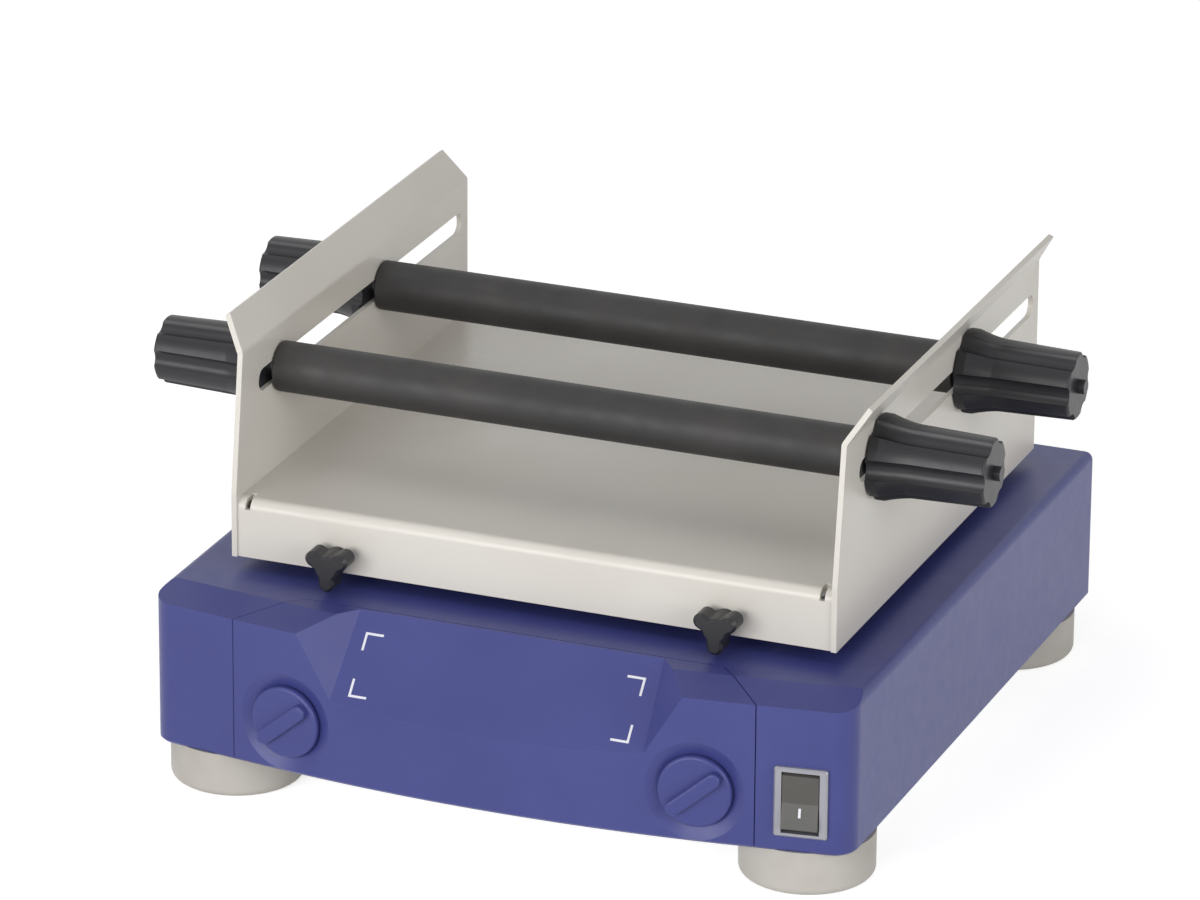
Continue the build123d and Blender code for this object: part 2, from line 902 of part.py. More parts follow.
def make_control_board():
    bottom = plate_top + board_height
    half_x = board_width / 2
    half_y = board_depth / 2
    board = block((-half_x, half_x), (-half_y, half_y), (bottom, bottom + board_thickness))
    inset = 2 * standoff_radius
    for x in (-half_x + inset, half_x - inset):
        for y in (-half_y + inset, half_y - inset):
            board += Pos(x, y) * disc(standoff_radius, plate_top, bottom)
    top = bottom + board_thickness
    for step in range(capacitor_count):
        x = -half_x + capacitor_inset + step * capacitor_pitch
        place = Pos(x, -half_y + capacitor_setback)
        board += place * disc(capacitor_radius, top, top + capacitor_height)
    chip_x = -half_x + chip_inset
    chip_y = -half_y + chip_setback
    board += block(
        (chip_x, chip_x + chip_width), (chip_y, chip_y + chip_depth), (top, top + chip_height)
    )
    for step in range(2):
        relay_x = half_x - relay_inset - step * relay_pitch
        board += block(
            (relay_x - relay_width, relay_x),
            (-relay_depth / 2, relay_depth / 2),
            (top, top + relay_height),
        )
    return Pos(0, board_y) * board


def make_power_supply():
    """Transformer: laminated core on its base, with the coil through it."""
    half_x = transformer_width / 2
    half_y = transformer_depth / 2
    core = block((-half_x, half_x), (-half_y, half_y), (plate_top, plate_top + transformer_height))
    middle = plate_top + transformer_height / 2
    reach = half_y + coil_overhang
    coil = block(
        (-half_x / 2, half_x / 2),
        (-reach, reach),
        (middle - coil_height / 2, middle + coil_height / 2),
    )
    coil = fillet(coil.edges().filter_by(Axis.Z), coil_edge)
    return Pos(transformer_x, transformer_y) * (core + coil)


# Platform and tray


def rim_places():
    """Thumbscrew axes: place across, depth of the lip's outer face, direction outward."""
    return [
        (side * thumb_x, lip_y, outward)
        for lip_y, outward in ((tray_front_y, -1), (tray_rear_y, 1))
        for side in (-1, 1)
    ]


def across_disc(radius, x, z, y_from, y_to):
    """Round bar along Y between two depths."""
    length = abs(y_to - y_from)
    middle = (y_from + y_to) / 2
    return Pos(x, middle, z) * Cylinder(radius, length, rotation=(90, 0, 0))


def make_platform():
    half_x = tray_half - sheet - platform_fit
    half_y = tray_length / 2 - sheet - platform_fit
    deck_bottom = platform_top - platform_deck
    outer = RectangleRounded(2 * half_x, 2 * half_y, platform_corner)
    inner = RectangleRounded(
        2 * (half_x - platform_rim), 2 * (half_y - platform_rim), platform_corner - platform_rim
    )
    platform = extrude(Pos(0, 0, platform_bottom) * outer, amount=platform_height)
    platform = fillet(platform.faces().sort_by(Axis.Z)[-1].edges(), bend_radius - sheet)
    platform -= extrude(Pos(0, 0, platform_bottom) * inner, amount=platform_height - platform_deck)
    rib_z = (deck_bottom - rib_height, deck_bottom)
    half_rib = rib_thickness / 2
    for x in (-idler_x, 0, idler_x):
        platform += block((x - half_rib, x + half_rib), (-half_y + 1, half_y - 1), rib_z)
    for y in (-idler_y, 0, idler_y):
        platform += block((-half_x + 1, half_x - 1), (y - half_rib, y + half_rib), rib_z)
    hub = bearing_radius + hub_wall
    platform += disc(hub, platform_bottom, deck_bottom)
    for x in (-idler_x, idler_x):
        for y in (-idler_y, idler_y):
            hub = idler_bush_radius + hub_wall
            platform += Pos(x, y) * disc(hub, platform_bottom, deck_bottom)
            platform -= Pos(x, y) * disc(idler_bush_radius, platform_bottom, deck_bottom)
    platform -= disc(bearing_radius, platform_bottom, platform_bottom + bearing_width + 1)
    platform -= disc(pin_radius + bore_clearance, platform_bottom, deck_bottom)
    platform = Pos(0, platform_y) * platform
    boss_length = thumb_stud_length - sheet
    for x, lip_y, outward in rim_places():
        rim_y = lip_y - outward * (sheet + platform_fit)
        end_y = rim_y - outward * boss_length
        platform += across_disc(thumb_boss_radius, x, thumb_z, rim_y - outward, end_y)
        platform -= across_disc(thumb_stud_radius + running_gap, x, thumb_z, rim_y, end_y)
    return platform


def make_platform_bearing():
    bearing = ball_bearing(bearing_radius, pin_radius + running_gap, bearing_width)
    return Pos(0, platform_y, platform_bottom + 1) * bearing


def make_platform_idler_bearings():
    length = platform_height - platform_deck
    inner = idler_shaft_radius + running_gap
    bearing = ring(idler_bush_radius, inner, platform_bottom, platform_bottom + length)
    low = platform_bottom - idler_bush_flange
    bearing += ring(idler_bush_flange_radius, inner, low, platform_bottom)
    return group([Pos(x, y + orbit_radius) * bearing for x, y in idler_places()])


def channel(span, height):
    """End view of a sheet folded down along two edges."""
    outer = Pos(0, -height / 2) * Rectangle(span, height)
    outer = fillet(outer.vertices().group_by(Axis.Y)[-1], bend_radius)
    inner = Pos(0, -sheet - height / 2) * Rectangle(span - 2 * sheet, height)
    inner = fillet(inner.vertices().group_by(Axis.Y)[-1], bend_radius - sheet)
    return outer - inner


def make_tray_pan():
    """Flat floor with all four edges folded down, notched at the corners."""
    end_view = Plane(origin=(0, platform_y, tray_floor), x_dir=(0, 1, 0), z_dir=(1, 0, 0))
    pan = extrude(end_view * channel(tray_length, skirt_drop), amount=tray_half, both=True)
    front_view = Plane(origin=(0, platform_y, tray_floor), x_dir=(1, 0, 0), z_dir=(0, -1, 0))
    side_length = tray_length / 2 - bend_radius - skirt_end_gap
    pan += extrude(front_view * channel(tray_width, skirt_drop), amount=side_length, both=True)
    notch_x = tray_half - bend_radius
    for lip_y, outward in ((tray_front_y, -1), (tray_rear_y, 1)):
        start = lip_y + outward
        end = lip_y - outward * relief_length
        depths = (min(start, end), max(start, end))
        for side in (-1, 1):
            limits = sorted((side * notch_x - relief_width / 2, side * notch_x + relief_width / 2))
            pan -= block(limits, depths, (tray_floor - bend_radius, tray_floor + 1))
    for x, lip_y, outward in rim_places():
        hole_radius = thumb_stud_radius + part_gap
        pan -= across_disc(hole_radius, x, thumb_z, lip_y + outward, lip_y - outward * 2 * sheet)
    return pan


def make_side_wall(side):
    """Slotted wall with an outward flange, folded from one sheet."""
    flange_top = wall_bend_z + flange_rise
    path = FilletPolyline(
        (tray_half, skirt_bottom - wall_bend_z),
        (tray_half, 0),
        (tray_half + flange_reach, flange_rise),
        radius=bend_radius,
    )
    profile = offset(path, amount=sheet, side=Side.RIGHT, kind=Kind.INTERSECTION, closed=True)
    front_view = Plane(origin=(0, 0, wall_bend_z), x_dir=(1, 0, 0), z_dir=(0, -1, 0))
    sheet_form = extrude(front_view * make_face(profile), amount=housing_depth, both=True)
    front = tray_front_y - wall_front_overhang
    lean_z = skirt_bottom + wall_lean_start
    points = [
        (front, skirt_bottom),
        (front, lean_z),
        (front + wall_lean, wall_bend_z),
        (front + wall_lean + flange_front_setback, flange_top),
        (tray_rear_y - flange_rear_setback, flange_top),
        (tray_rear_y, wall_bend_z),
        (tray_rear_y, skirt_bottom),
    ]
    side_view = Plane(origin=(0, 0, 0), x_dir=(0, 1, 0), z_dir=(1, 0, 0))
    outline = make_face(Polyline(*points, close=True))
    wall = sheet_form & extrude(side_view * outline, amount=2 * tray_width)
    middle = (slot_front_y + slot_rear_y) / 2
    slot = Pos(middle, bar_z) * SlotOverall(slot_rear_y - slot_front_y, slot_height)
    wall -= extrude(side_view * slot, amount=2 * tray_width)
    return wall if side > 0 else mirror(wall, about=Plane.YZ)


# Clamp bars, knobs and thumbscrews


def along_x(radius, half_length):
    """Round bar along X, centred."""
    return Cylinder(radius, 2 * half_length, rotation=(0, 90, 0))


def bar_place(bar_y):
    return Pos(0, bar_y, bar_z)


bar_half = tray_half - bar_end_gap


def make_clamp_rod(bar_y):
    rod = along_x(rod_radius, tray_half + sheet + rod_reach)
    rod = chamfer(rod.edges().filter_by(GeomType.CIRCLE), rod_radius / 5)
    return bar_place(bar_y) * rod


def make_bar_tube(bar_y):
    tube = along_x(bar_tube_radius, bar_half) - along_x(rod_radius, bar_half)
    return bar_place(bar_y) * tube


def make_bar_sleeve(bar_y):
    sleeve = along_x(sleeve_radius, bar_half)
    sleeve = fillet(sleeve.edges().filter_by(GeomType.CIRCLE), sleeve_edge)
    return bar_place(bar_y) * (sleeve - along_x(bar_tube_radius, bar_half))


def clamp_knob():
    """Fluted grip about Z, with its flared base at zero."""
    neck = (knob_neck_radius, knob_neck_length)
    base_corner = (knob_base_radius, knob_base_length)
    profile = Curve() + [
        Line((0, 0), (knob_base_radius, 0)),
        Line((knob_base_radius, 0), base_corner),
        TangentArc(neck, base_corner, tangent=(0.12, -1)),
        Line(neck, (knob_end_radius, knob_length)),
        Line((knob_end_radius, knob_length), (0, knob_length)),
        Line((0, knob_length), (0, 0)),
    ]
    body = revolve(Plane.XZ * make_face(profile), axis=Axis.Z)
    ends = [edge for edge in body.edges().filter_by(GeomType.CIRCLE) if edge.radius > nub_radius]
    outer_ends = [
        edge for edge in ends if edge.center().Z < 0.1 or edge.center().Z > knob_length - 0.1
    ]
    body = fillet(outer_ends, knob_edge)
    reach = flute_radius - flute_depth
    path = FilletPolyline(
        (knob_base_radius + reach, 0, -knob_base_length),
        (knob_base_radius + reach, 0, 0.1),
        (knob_neck_radius + reach, 0, knob_neck_length),
        (knob_end_radius + reach, 0, knob_length + knob_base_length),
        radius=knob_neck_length,
    )
    start = Plane(origin=path @ 0, z_dir=path % 0)
    flute = sweep(start * Circle(flute_radius), path=path)
    for step in range(flute_count):
        body -= Rot(0, 0, step * 360 / flute_count) * flute
    body += disc(nub_radius, knob_length - 1, knob_length + nub_length)
    bore_depth = rod_reach - part_gap + knob_bore_extra
    return body - disc(rod_radius + running_gap, 0, bore_depth)


def make_clamp_knob(bar_y, side):
    knob = Rot(0, 90, 0) * Rot(0, 0, 180 / flute_count) * clamp_knob()
    knob = Pos(tray_half + sheet + part_gap, 0, 0) * knob
    if side < 0:
        knob = mirror(knob, about=Plane.YZ)
    return bar_place(bar_y) * knob


def thumbscrew():
    """Three-lobed star on a hub with its stud, pointing along Z from the lip."""
    star = Circle(star_core_radius)
    middle = (star_radius - star_lobe_radius) / 2
    lobe = SlotOverall(star_radius + star_lobe_radius, 2 * star_lobe_radius)
    for step in range(star_lobe_count):
        star += Rot(0, 0, 30 + step * 360 / star_lobe_count) * Pos(middle, 0) * lobe
    hollows = [
        vertex
        for vertex in star.vertices()
        if sqrt(vertex.X ** 2 + vertex.Y ** 2) < star_core_radius + 0.5
    ]
    star = fillet(hollows, star_blend)
    head = extrude(Pos(0, 0, thumb_hub_length) * star, amount=star_thickness)
    head = chamfer(head.faces().sort_by(Axis.Z)[-1].edges(), star_edge)
    hub = disc(thumb_hub_radius, 0, thumb_hub_length)
    stud = disc(thumb_stud_radius, -thumb_stud_length, 1)
    return head + hub + stud


def make_thumbscrew(side, outward):
    lip_y = tray_front_y if outward < 0 else tray_rear_y
    place = Plane(
        origin=(side * thumb_x, lip_y + outward * part_gap, thumb_z),
        x_dir=(-outward, 0, 0),
        z_dir=(0, outward, 0),
    )
    return place * thumbscrew()


def make_nodes():
    nodes = {
        "housing_cover": make_housing_cover(),
        "front_panel": make_front_panel(),
        "base_plate": make_base_plate(),
        "foot_screws": make_foot_screws(),
        "cover_screws": make_cover_screws(),
        "shaft_seals": make_shaft_seals(),
        "bearing_tower": make_bearing_tower(),
        "tower_bearings": make_tower_bearings(),
        "idler_towers": make_idler_towers(),
        "idler_bearings": make_idler_bearings(),
        "motor": make_motor(),
        "motor_bracket": make_motor_bracket(),
        "drive_belt": make_drive_belt(),
        "control_board": make_control_board(),
        "power_supply": make_power_supply(),
        "speed_potentiometer": make_potentiometer(-1),
        "timer_potentiometer": make_potentiometer(1),
        "switch_frame": make_switch_frame(),
        "switch_rocker": make_rocker(),
        "mains_inlet": make_mains_inlet(),
        "speed_knob": make_dial(-1),
        "timer_knob": make_dial(1),
        "drive_shaft": make_drive_shaft(),
        "driven_pulley": make_driven_pulley(),
        "counterweight": make_counterweight(),
        "motor_pulley": make_motor_pulley(),
        "platform": make_platform(),
        "platform_bearing": make_platform_bearing(),
        "platform_idler_bearings": make_platform_idler_bearings(),
        "tray_pan": make_tray_pan(),
    }
    for name, (x, y) in foot_places().items():
        nodes[f"foot_{name}"] = Pos(x, y) * make_foot()
    for number, place in enumerate(idler_places(), start=1):
        nodes[f"idler_crank_{number}"] = make_idler_crank(place)
    for row, bar_y in (("front", front_bar_y), ("rear", rear_bar_y)):
        nodes[f"{row}_clamp_rod"] = make_clamp_rod(bar_y)
        nodes[f"{row}_bar_tube"] = make_bar_tube(bar_y)
        nodes[f"{row}_bar_sleeve"] = make_bar_sleeve(bar_y)
    for hand, side in (("left", -1), ("right", 1)):
        nodes[f"side_wall_{hand}"] = make_side_wall(side)
        nodes[f"clamp_knob_front_{hand}"] = make_clamp_knob(front_bar_y, side)
        nodes[f"clamp_knob_rear_{hand}"] = make_clamp_knob(rear_bar_y, side)
        nodes[f"thumbscrew_front_{hand}"] = make_thumbscrew(side, -1)
        nodes[f"thumbscrew_rear_{hand}"] = make_thumbscrew(side, 1)
    return nodes


os.makedirs("parts", exist_ok=True)
for node_name, shape in make_nodes().items():
    export_step(shape, f"parts/{node_name}.step")
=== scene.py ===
from math import cos, radians, sin, sqrt

import bpy
from mathutils import Matrix, Vector


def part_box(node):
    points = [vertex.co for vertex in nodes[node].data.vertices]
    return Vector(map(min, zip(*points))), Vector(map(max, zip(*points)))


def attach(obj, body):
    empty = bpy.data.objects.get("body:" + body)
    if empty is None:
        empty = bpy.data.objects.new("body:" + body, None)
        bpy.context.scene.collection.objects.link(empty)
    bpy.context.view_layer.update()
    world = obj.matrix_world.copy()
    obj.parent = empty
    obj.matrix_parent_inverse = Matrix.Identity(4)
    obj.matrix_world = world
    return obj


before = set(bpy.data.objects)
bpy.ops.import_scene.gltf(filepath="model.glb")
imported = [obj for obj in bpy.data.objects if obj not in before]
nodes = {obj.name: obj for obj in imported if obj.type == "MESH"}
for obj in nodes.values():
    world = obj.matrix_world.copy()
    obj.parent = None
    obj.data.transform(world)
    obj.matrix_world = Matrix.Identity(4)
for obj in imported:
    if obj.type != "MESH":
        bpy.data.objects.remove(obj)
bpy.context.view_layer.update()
MM = 0.001

# Camera, solved from the edges of the housing and the tray
CAMERA_TARGET = Vector((-13.4, 4.5, 101.4)) * MM
CAMERA_AZIMUTH = 21.78
CAMERA_ELEVATION = 21.36
CAMERA_ROLL = 0.41
CAMERA_DISTANCE = 2.77
CAMERA_LENS = 225
CAMERA_SENSOR = 36
CAMERA_REACH = 20


def linear(red, green, blue):
    """Linear colour from the 0 to 255 values of a screen colour."""
    values = []
    for value in (red, green, blue):
        share = value / 255
        if share <= 0.04045:
            values.append(share / 12.92)
        else:
            values.append(((share + 0.055) / 1.055) ** 2.4)
    return (*values, 1)


# Materials


class Surface:
    """A node material built up step by step round one Principled shader."""

    def __init__(self, name, roughness, metallic=0.0, specular=0.5):
        self.material = bpy.data.materials.new(name)
        self.material.use_nodes = True
        self.tree = self.material.node_tree
        self.shader = self.tree.nodes["Principled BSDF"]
        self.shader.inputs["Roughness"].default_value = roughness
        self.shader.inputs["Metallic"].default_value = metallic
        self.shader.inputs["Specular IOR Level"].default_value = specular
        self.place = self.tree.nodes.new("ShaderNodeTexCoord").outputs["Object"]
        self.last_normal = None

    def add(self, kind, **settings):
        node = self.tree.nodes.new(kind)
        for name, value in settings.items():
            setattr(node, name, value)
        return node

    def link(self, source, target):
        self.tree.links.new(source, target)

    def noise(self, scale, detail, stretch=(1, 1, 1)):
        """Noise in object space, with its grain stretched along chosen axes."""
        mapping = self.add("ShaderNodeMapping")
        mapping.inputs["Scale"].default_value = stretch
        self.link(self.place, mapping.inputs["Vector"])
        texture = self.add("ShaderNodeTexNoise")
        texture.inputs["Scale"].default_value = scale
        texture.inputs["Detail"].default_value = detail
        self.link(mapping.outputs["Vector"], texture.inputs["Vector"])
        return texture.outputs["Fac"]

    def spread(self, source, low=0, high=1, from_low=0.3, from_high=0.7):
        """The source's middle range, stretched to a new range."""
        node = self.add("ShaderNodeMapRange")
        node.inputs["From Min"].default_value = from_low
        node.inputs["From Max"].default_value = from_high
        node.inputs["To Min"].default_value = low
        node.inputs["To Max"].default_value = high
        self.link(source, node.inputs["Value"])
        return node.outputs["Result"]

    def blend(self, share, first, second):
        """Colour between two colours or sockets, by a share."""
        node = self.add("ShaderNodeMix", data_type="RGBA")
        self.link(share, node.inputs["Factor"])
        for socket, value in ((node.inputs[6], first), (node.inputs[7], second)):
            if isinstance(value, tuple):
                socket.default_value = value
            else:
                self.link(value, socket)
        return node.outputs[2]

    def color(self, source):
        self.link(source, self.shader.inputs["Base Color"])

    def roughness(self, source):
        self.link(source, self.shader.inputs["Roughness"])

    def bump(self, source, strength, distance):
        node = self.add("ShaderNodeBump")
        node.inputs["Strength"].default_value = strength
        node.inputs["Distance"].default_value = distance
        self.link(source, node.inputs["Height"])
        if self.last_normal is not None:
            self.link(self.last_normal, node.inputs["Normal"])
        self.last_normal = node.outputs["Normal"]
        self.link(self.last_normal, self.shader.inputs["Normal"])


def darker(color, share):
    """The colour at a share of its brightness."""
    return tuple(value * share for value in color[:3]) + (1,)


def moulded_plastic(name, base, worn, roughness, grain=0.06):
    """Textured moulded plastic: fine grain and faint mottling."""
    surface = Surface(name, roughness, specular=0.36)
    mottle = surface.spread(surface.noise(scale=40, detail=5))
    surface.color(surface.blend(mottle, base, worn))
    wear = surface.noise(scale=180, detail=3)
    surface.roughness(surface.spread(wear, low=roughness - 0.02, high=roughness + 0.03))
    surface.bump(surface.noise(scale=1600, detail=2), strength=grain, distance=0.0002)
    return surface.material


def coated_sheet(name, base, shade, roughness):
    """Satin coated sheet metal: orange peel, faint handling marks."""
    surface = Surface(name, roughness)
    mottle = surface.spread(surface.noise(scale=9, detail=6))
    surface.color(surface.blend(mottle, base, shade))
    smear = surface.noise(scale=26, detail=4, stretch=(1, 0.35, 1))
    surface.roughness(surface.spread(smear, low=roughness - 0.07, high=roughness + 0.09))
    surface.bump(surface.noise(scale=900, detail=2), strength=0.05, distance=0.0002)
    return surface.material


def turned_metal(name, base, roughness, stretch=(1, 1, 1), scale=700):
    """Bare metal with fine machining lines."""
    surface = Surface(name, roughness, metallic=1.0)
    mottle = surface.spread(surface.noise(scale=40, detail=5))
    surface.color(surface.blend(mottle, base, darker(base, 0.8)))
    lines = surface.noise(scale, detail=3, stretch=stretch)
    surface.roughness(surface.spread(lines, low=roughness - 0.08, high=roughness + 0.1))
    surface.bump(lines, strength=0.12, distance=0.0001)
    return surface.material


def rubber(name, base, dusty, roughness):
    """Dull rubber with a fine skin and a trace of dust."""
    surface = Surface(name, roughness, specular=0.4)
    clouds = surface.noise(scale=35, detail=6)
    dust = surface.spread(clouds, from_low=0.35, from_high=0.75)
    surface.color(surface.blend(dust, base, dusty))
    wear = surface.noise(scale=120, detail=3)
    surface.roughness(surface.spread(wear, low=roughness - 0.06, high=roughness + 0.06))
    surface.bump(surface.noise(scale=900, detail=3), strength=0.15, distance=0.0003)
    return surface.material


def plain(name, base, roughness, metallic=0.0, shade=0.85):
    """Simple finish with slight variation, for small and inner pieces."""
    surface = Surface(name, roughness, metallic=metallic)
    mottle = surface.spread(surface.noise(scale=60, detail=4))
    surface.color(surface.blend(mottle, base, darker(base, shade)))
    surface.bump(surface.noise(scale=720, detail=2), strength=0.06, distance=0.0002)
    return surface.material


def board_material():
    """Circuit board: green lacquer in two shades, with a pattern of paler tracks."""
    surface = Surface("board_green", 0.35)
    brick = surface.add("ShaderNodeTexBrick")
    brick.inputs["Scale"].default_value = 60
    brick.inputs["Color1"].default_value = linear(22, 92, 52)
    brick.inputs["Color2"].default_value = linear(28, 104, 58)
    brick.inputs["Mortar"].default_value = linear(60, 140, 80)
    brick.inputs["Mortar Size"].default_value = 0.03
    surface.link(surface.place, brick.inputs["Vector"])
    surface.color(brick.outputs["Color"])
    return surface.material


def laminated_core():
    """Stacked sheets of the transformer core under varnish."""
    surface = Surface("core_iron", 0.45, metallic=0.6)
    wave = surface.add("ShaderNodeTexWave", bands_direction="Y")
    wave.inputs["Scale"].default_value = 320
    wave.inputs["Distortion"].default_value = 0.4
    surface.link(surface.place, wave.inputs["Vector"])
    shade = surface.spread(wave.outputs["Fac"], from_low=0.2, from_high=0.8)
    surface.color(surface.blend(shade, linear(58, 54, 50), linear(104, 98, 92)))
    surface.bump(wave.outputs["Fac"], strength=0.3, distance=0.0003)
    return surface.material


def make_materials():
    """Every finish by a short key; node_material picks from these."""
    white = linear(228, 228, 236)
    return {
        "blue": moulded_plastic("housing_blue", linear(62, 67, 128), linear(66, 71, 133), 0.36),
        "print": plain("panel_print", white, 0.5, shade=0.95),
        "steel": turned_metal("plate_steel", linear(190, 190, 192), 0.38, (1, 40, 1), 60),
        "screw": turned_metal("screw_steel", linear(200, 200, 202), 0.3),
        "foot": rubber("foot_grey", linear(192, 188, 181), linear(176, 171, 163), 0.6),
        "seal": rubber("seal_rubber", linear(38, 38, 40), linear(52, 52, 54), 0.6),
        "alloy": turned_metal("cast_alloy", linear(186, 188, 190), 0.5, scale=300),
        "bearing": turned_metal("bearing_steel", linear(214, 214, 216), 0.18),
        "bronze": turned_metal("bronze", linear(178, 138, 84), 0.4),
        "motor": plain("motor_steel", linear(84, 86, 90), 0.4, metallic=0.5),
        "belt": rubber("belt_rubber", linear(30, 30, 30), linear(44, 44, 44), 0.7),
        "board": board_material(),
        "core": laminated_core(),
        "pot": plain("pot_plastic", linear(52, 52, 58), 0.45),
        "frame": plain("frame_grey", linear(158, 158, 166), 0.28, metallic=0.4, shade=0.92),
        "rocker": moulded_plastic("rocker_dark", linear(76, 76, 73), linear(86, 84, 81), 0.38),
        "inlet": plain("inlet_black", linear(34, 34, 36), 0.42),
        "pulley": turned_metal("pulley_alloy", linear(200, 202, 204), 0.32),
        "sheet": coated_sheet("tray_beige", linear(220, 216, 208), linear(211, 206, 197), 0.34),
        "rod": turned_metal("bar_steel", linear(170, 170, 172), 0.35),
        "tube": turned_metal("bar_alloy", linear(196, 198, 200), 0.3),
        "sleeve": rubber("sleeve_rubber", linear(42, 41, 41), linear(56, 54, 53), 0.55),
        "knob": moulded_plastic("knob_black", linear(34, 34, 37), linear(41, 41, 45), 0.34, 0.1),
    }


def node_material(name):
    """Which material each node of the model wears."""
    exact = {
        "housing_cover": "blue",
        "front_panel": "blue",
        "speed_knob": "blue",
        "timer_knob": "blue",
        "base_plate": "steel",
        "motor_bracket": "steel",
        "foot_screws": "screw",
        "cover_screws": "screw",
        "shaft_seals": "seal",
        "bearing_tower": "alloy",
        "idler_towers": "alloy",
        "platform": "alloy",
        "tower_bearings": "bearing",
        "platform_bearing": "bearing",
        "drive_shaft": "bearing",
        "idler_bearings": "bronze",
        "platform_idler_bearings": "bronze",
        "motor": "motor",
        "drive_belt": "belt",
        "control_board": "board",
        "power_supply": "core",
        "counterweight": "core",
        "speed_potentiometer": "pot",
        "timer_potentiometer": "pot",
        "switch_frame": "frame",
        "switch_rocker": "rocker",
        "mains_inlet": "inlet",
        "driven_pulley": "pulley",
        "motor_pulley": "pulley",
    }
    if name in exact:
        return exact[name]
    endings = {
        "foot_": "foot",
        "idler_crank": "bearing",
        "clamp_rod": "rod",
        "bar_tube": "tube",
        "bar_sleeve": "sleeve",
        "clamp_knob": "knob",
        "thumbscrew": "knob",
        "tray_pan": "sheet",
        "side_wall": "sheet",
    }
    return next(value for key, value in endings.items() if key in name)


materials = make_materials()
for node_name, node in nodes.items():
    node.data.materials.clear()
    node.data.materials.append(materials[node_material(node_name)])


# Printed marks


def mesh_piece(name, corners, faces, material, body):
    """Adds an object, made from corners and faces, that rides on a body."""
    mesh = bpy.data.meshes.new(name)
    mesh.from_pydata([tuple(corner) for corner in corners], [], faces)
    mesh.update()
    mesh.materials.append(material)
    piece = bpy.data.objects.new(name, mesh)
    bpy.context.scene.collection.objects.link(piece)
    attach(piece, body)


def raised_strip(outline, place, height):
    """Corners and faces of a thin slab over a flat outline on a placed plane."""
    count = len(outline)
    corners = [place @ Vector((x, y, 0)) for x, y in outline]
    corners += [place @ Vector((x, y, height)) for x, y in outline]
    faces = [tuple(range(count, 2 * count))]
    for step in range(count):
        following = (step + 1) % count
        faces.append((step, following, count + following, count + step))
    return corners, faces


def plane_matrix(origin, across, normal):
    """Matrix of a plane: its X runs across and its Z is the normal."""
    normal = normal.normalized()
    across = (across - normal * across.dot(normal)).normalized()
    up = normal.cross(across)
    matrix = Matrix((across, up, normal)).transposed().to_4x4()
    matrix.translation = origin
    return matrix


# Bowed front of the control panel and the sloping window let into it
PANEL_LOW, PANEL_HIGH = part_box("front_panel")
SEAM_X = 100.6 * MM
BOW_DEPTH = 7.9 * MM
BOW_RADIUS = (SEAM_X ** 2 + BOW_DEPTH ** 2) / (2 * BOW_DEPTH)
FRONT_TIP = PANEL_LOW[1]
WINDOW_SLOPE = radians(48)
WINDOW_FOOT_X = 60.4 * MM
WINDOW_FOOT_Z = 49 * MM
BRACKET_HALF_SPAN = 54 * MM
BRACKET_LOW = 2.5 * MM
BRACKET_HIGH = 27.5 * MM
BRACKET_ARM = 7 * MM
BRACKET_STROKE = 0.9 * MM
PRINT_HEIGHT = 0.06 * MM

# Mains switch on the swept right end block
BLOCK_SLOPE = 5 / 34.4
SWITCH_X = 117.1 * MM
SWITCH_Y = FRONT_TIP + BOW_DEPTH + BLOCK_SLOPE * (SWITCH_X - SEAM_X)
SWITCH_Z = 36.75 * MM
BEZEL_THICKNESS = 1.8 * MM
ROCKER_TILT = radians(14)
ROCKER_MARK_HALF = 0.45 * MM
ROCKER_MARK_LOW = -5 * MM
ROCKER_MARK_HIGH = -1.6 * MM
ROCKER_MARK_HEIGHT = 0.05 * MM


def front_y(x):
    """Depth of the bowed front at a place across it."""
    return FRONT_TIP + BOW_RADIUS - sqrt(BOW_RADIUS ** 2 - x ** 2)


def window_plane():
    """Plane of the window, with its origin midway along the lower edge."""
    origin = Vector((0, front_y(WINDOW_FOOT_X), WINDOW_FOOT_Z))
    normal = Vector((0, -sin(WINDOW_SLOPE), cos(WINDOW_SLOPE)))
    return plane_matrix(origin, Vector((1, 0, 0)), normal)


def add_window_corners():
    """Four printed corner brackets on the sloping window."""
    place = window_plane()
    arm = BRACKET_ARM
    stroke = BRACKET_STROKE
    for column, x in (("left", -BRACKET_HALF_SPAN), ("right", BRACKET_HALF_SPAN)):
        for row, y in (("lower", BRACKET_LOW), ("upper", BRACKET_HIGH)):
            in_x = -1 if x > 0 else 1
            in_y = 1 if row == "lower" else -1
            outline = [
                (x, y),
                (x + in_x * arm, y),
                (x + in_x * arm, y + in_y * stroke),
                (x + in_x * stroke, y + in_y * stroke),
                (x + in_x * stroke, y + in_y * arm),
                (x, y + in_y * arm),
            ]
            if in_x * in_y < 0:
                outline.reverse()
            corners, faces = raised_strip(outline, place, PRINT_HEIGHT)
            name = f"window_corner_{row}_{column}"
            mesh_piece(name, corners, faces, materials["print"], "base")


def add_rocker_mark():
    """Short bar printed on the raised half of the mains rocker."""
    across = Vector((1, BLOCK_SLOPE, 0)).normalized()
    outward = Vector((BLOCK_SLOPE, -1, 0)).normalized()
    tilted = outward * cos(ROCKER_TILT) + Vector((0, 0, 1)) * sin(ROCKER_TILT)
    crest = Vector((SWITCH_X, SWITCH_Y, SWITCH_Z)) + outward * BEZEL_THICKNESS
    place = plane_matrix(crest, across, tilted)
    outline = [
        (-ROCKER_MARK_HALF, ROCKER_MARK_LOW),
        (ROCKER_MARK_HALF, ROCKER_MARK_LOW),
        (ROCKER_MARK_HALF, ROCKER_MARK_HIGH),
        (-ROCKER_MARK_HALF, ROCKER_MARK_HIGH),
    ]
    corners, faces = raised_strip(outline, place, ROCKER_MARK_HEIGHT)
    mesh_piece("rocker_mark", corners, faces, materials["print"], "rocker")


